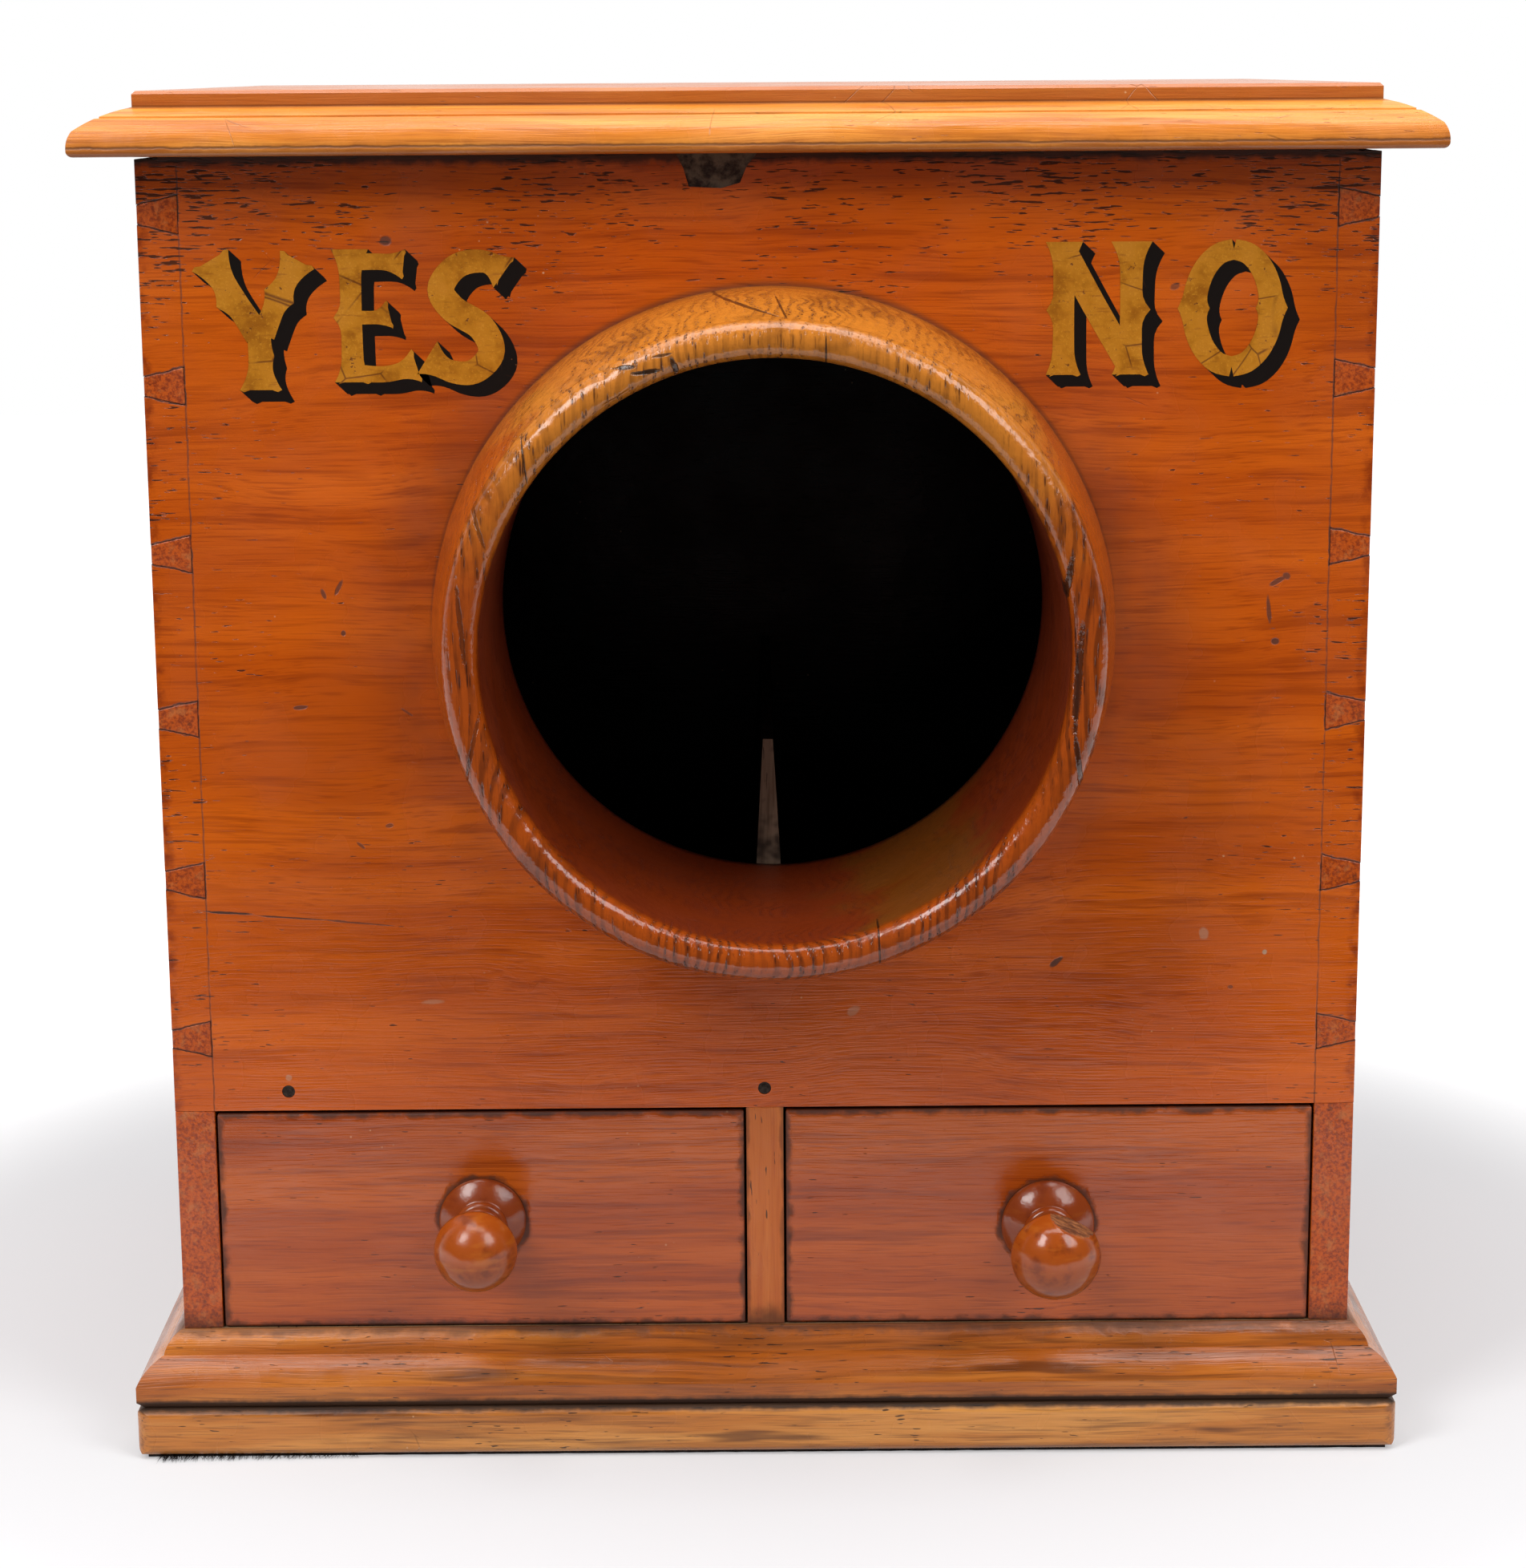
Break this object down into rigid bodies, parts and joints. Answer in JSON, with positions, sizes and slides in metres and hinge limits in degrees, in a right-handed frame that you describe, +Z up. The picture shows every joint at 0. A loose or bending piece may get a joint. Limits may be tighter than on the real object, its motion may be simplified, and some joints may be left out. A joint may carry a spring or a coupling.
{
  "type": "ballot box",
  "caption": "Wooden ballot box with a hinged moulded lid, a turned collar for the arm, a partitioned chamber and drawers below.",
  "frame": {"origin": "centre of the underside, on the surface that the box stands on", "axes": "+X to the right seen from the front, the front with the collar and the drawers faces -Y, +Z up"},
  "size_m": [0.3274, 0.2852, 0.3443],
  "materials": {
    "front_wood": "varnished orange pine with dirt and wear",
    "side_wood": "varnished red-brown pine",
    "lid_wood": "varnished golden wood, worn arrises",
    "base_wood": "varnished streaky golden wood, dirt in the quirks",
    "drawer_wood": "varnished red-brown wood",
    "inner_wood": "bare wood, grey-brown with age",
    "collar_wood": "varnished open-grained oak, glossy",
    "knob_wood": "french-polished dark red-brown wood",
    "filler": "dull grey stopping",
    "iron": "rusted nail heads",
    "hinge_brass": "tarnished brass",
    "baize": "worn dark baize",
    "gold_leaf": "aged gold leaf, cracked",
    "black_paint": "black sign paint"
  },
  "bodies": {
    "carcass": {"base_baize": "baize", "base_slab": "base_wood", "plinth_front_moulding": "base_wood", "plinth_back_moulding": "base_wood", "plinth_left_moulding": "base_wood", "plinth_right_moulding": "base_wood", "drawer_floor": "inner_wood", "left_side_board": "side_wood", "right_side_board": "side_wood", "back_board": "side_wood", "front_board": "front_wood", "lock_cutout_plug": "filler", "front_board_nails": "iron", "chamber_floor": "inner_wood", "chamber_partition": "inner_wood", "drawer_divider": "side_wood", "arm_collar": "collar_wood", "left_hinge_body_leaf": "hinge_brass", "left_hinge_pin": "hinge_brass", "right_hinge_body_leaf": "hinge_brass", "right_hinge_pin": "hinge_brass", "body_leaf_screws": "hinge_brass"},
    "lid": {"lid": "lid_wood", "left_hinge_lid_leaf": "hinge_brass", "right_hinge_lid_leaf": "hinge_brass", "lid_leaf_screws": "hinge_brass"},
    "left_drawer": {"left_drawer_front": "drawer_wood", "left_drawer_outer_side": "inner_wood", "left_drawer_inner_side": "inner_wood", "left_drawer_back": "inner_wood", "left_drawer_bottom": "inner_wood", "left_drawer_knob": "knob_wood"},
    "right_drawer": {"right_drawer_front": "drawer_wood", "right_drawer_outer_side": "inner_wood", "right_drawer_inner_side": "inner_wood", "right_drawer_back": "inner_wood", "right_drawer_bottom": "inner_wood", "right_drawer_knob": "knob_wood"}
  },
  "joints": [
    {"name": "lid_hinge", "type": "hinge", "parent": "carcass", "child": "lid", "pos_m": [0, 0.115, 0.329], "axis": [-1, 0, 0], "range_deg": [0, 103]},
    {"name": "left_drawer_slide", "type": "slide", "parent": "carcass", "child": "left_drawer", "axis": [0, -1, 0], "range_m": [0, 0.16]},
    {"name": "right_drawer_slide", "type": "slide", "parent": "carcass", "child": "right_drawer", "axis": [0, -1, 0], "range_m": [0, 0.16]}
  ]
}
